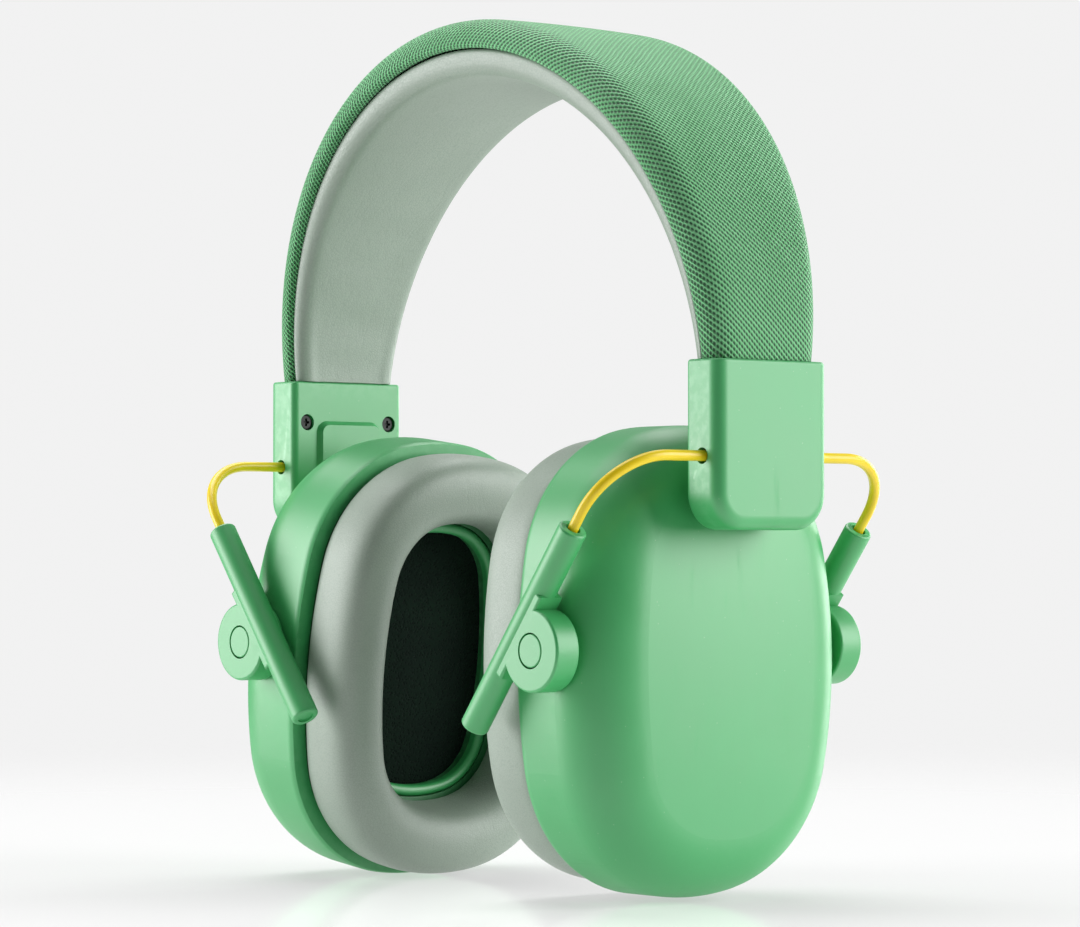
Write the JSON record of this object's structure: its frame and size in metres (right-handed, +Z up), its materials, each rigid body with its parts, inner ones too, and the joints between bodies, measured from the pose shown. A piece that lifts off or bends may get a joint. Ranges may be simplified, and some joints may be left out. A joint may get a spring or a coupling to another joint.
{
  "type": "ear defender headset",
  "caption": "Child-size passive ear-defender headset: padded fabric band, end blocks, sprung wire yokes with sliding arms, and deep tilting ear cups with soft cushions.",
  "frame": {"origin": "on the floor, midway between the two cups, under the crown of the headband", "axes": "+Z up through the crown, +X through the ears towards the right cup as seen from the front, -Y towards the front viewer"},
  "size_m": [0.163, 0.0922, 0.2],
  "materials": {
    "cover_fabric": "woven",
    "pad_leather": "fine grain",
    "spring_steel": "rolled",
    "soft_foam": "open cell",
    "mint_plastic": "satin",
    "screw_steel": "black oxide",
    "yellow_wire": "satin powder coat",
    "bush_plastic": "self-lubricating",
    "ear_foam": "open cell"
  },
  "bodies": {
    "headband": {"headband_cover": "cover_fabric", "headband_foam": "soft_foam", "headband_pad": "pad_leather", "headband_spring": "spring_steel", "right_block_outer_shell": "mint_plastic", "right_block_inner_shell": "mint_plastic", "right_block_screws": "screw_steel", "right_wire_bush": "bush_plastic", "left_block_outer_shell": "mint_plastic", "left_block_inner_shell": "mint_plastic", "left_block_screws": "screw_steel", "left_wire_bush": "bush_plastic"},
    "right_yoke": {"right_yoke_wire": "yellow_wire", "right_wire_stops": "spring_steel"},
    "right_front_arm": {"right_front_arm": "mint_plastic"},
    "right_rear_arm": {"right_rear_arm": "mint_plastic"},
    "right_cup": {"right_cup_shell": "mint_plastic", "right_base_plate": "mint_plastic", "right_front_pin": "mint_plastic", "right_rear_pin": "mint_plastic", "right_opening_bead": "mint_plastic", "right_foam_insert": "ear_foam", "right_cushion": "pad_leather"},
    "left_yoke": {"left_yoke_wire": "yellow_wire", "left_wire_stops": "spring_steel"},
    "left_front_arm": {"left_front_arm": "mint_plastic"},
    "left_rear_arm": {"left_rear_arm": "mint_plastic"},
    "left_cup": {"left_cup_shell": "mint_plastic", "left_base_plate": "mint_plastic", "left_front_pin": "mint_plastic", "left_rear_pin": "mint_plastic", "left_opening_bead": "mint_plastic", "left_foam_insert": "ear_foam", "left_cushion": "pad_leather"}
  },
  "joints": [
    {"name": "right_yoke_swing", "type": "hinge", "parent": "headband", "child": "right_yoke", "pos_m": [0.0763, 0, 0.0985], "axis": [0, -1, 0], "range_deg": [-13, 6]},
    {"name": "right_front_arm_slide", "type": "slide", "parent": "right_yoke", "child": "right_front_arm", "axis": [-0.6088, 0, -0.7934], "range_m": [-0.002, 0.026]},
    {"name": "right_rear_arm_slide", "type": "slide", "parent": "right_yoke", "child": "right_rear_arm", "axis": [-0.6088, 0, -0.7934], "range_m": [-0.002, 0.026]},
    {"name": "right_cup_tilt", "type": "hinge", "parent": "right_front_arm", "child": "right_cup", "pos_m": [0.05324, 0, 0.05645], "axis": [0, 1, 0], "range_deg": [-12, 2]},
    {"name": "left_yoke_swing", "type": "hinge", "parent": "headband", "child": "left_yoke", "pos_m": [-0.0763, 0, 0.0985], "axis": [0, 1, 0], "range_deg": [-13, 6]},
    {"name": "left_front_arm_slide", "type": "slide", "parent": "left_yoke", "child": "left_front_arm", "axis": [0.6088, 0, -0.7934], "range_m": [-0.002, 0.026]},
    {"name": "left_rear_arm_slide", "type": "slide", "parent": "left_yoke", "child": "left_rear_arm", "axis": [0.6088, 0, -0.7934], "range_m": [-0.002, 0.026]},
    {"name": "left_cup_tilt", "type": "hinge", "parent": "left_front_arm", "child": "left_cup", "pos_m": [-0.05324, 0, 0.05645], "axis": [0, -1, 0], "range_deg": [-5, 9]}
  ],
  "couplings": [
    {"joint": "right_rear_arm_slide", "follows": "right_front_arm_slide", "ratio": 1},
    {"joint": "left_rear_arm_slide", "follows": "left_front_arm_slide", "ratio": 1}
  ]
}
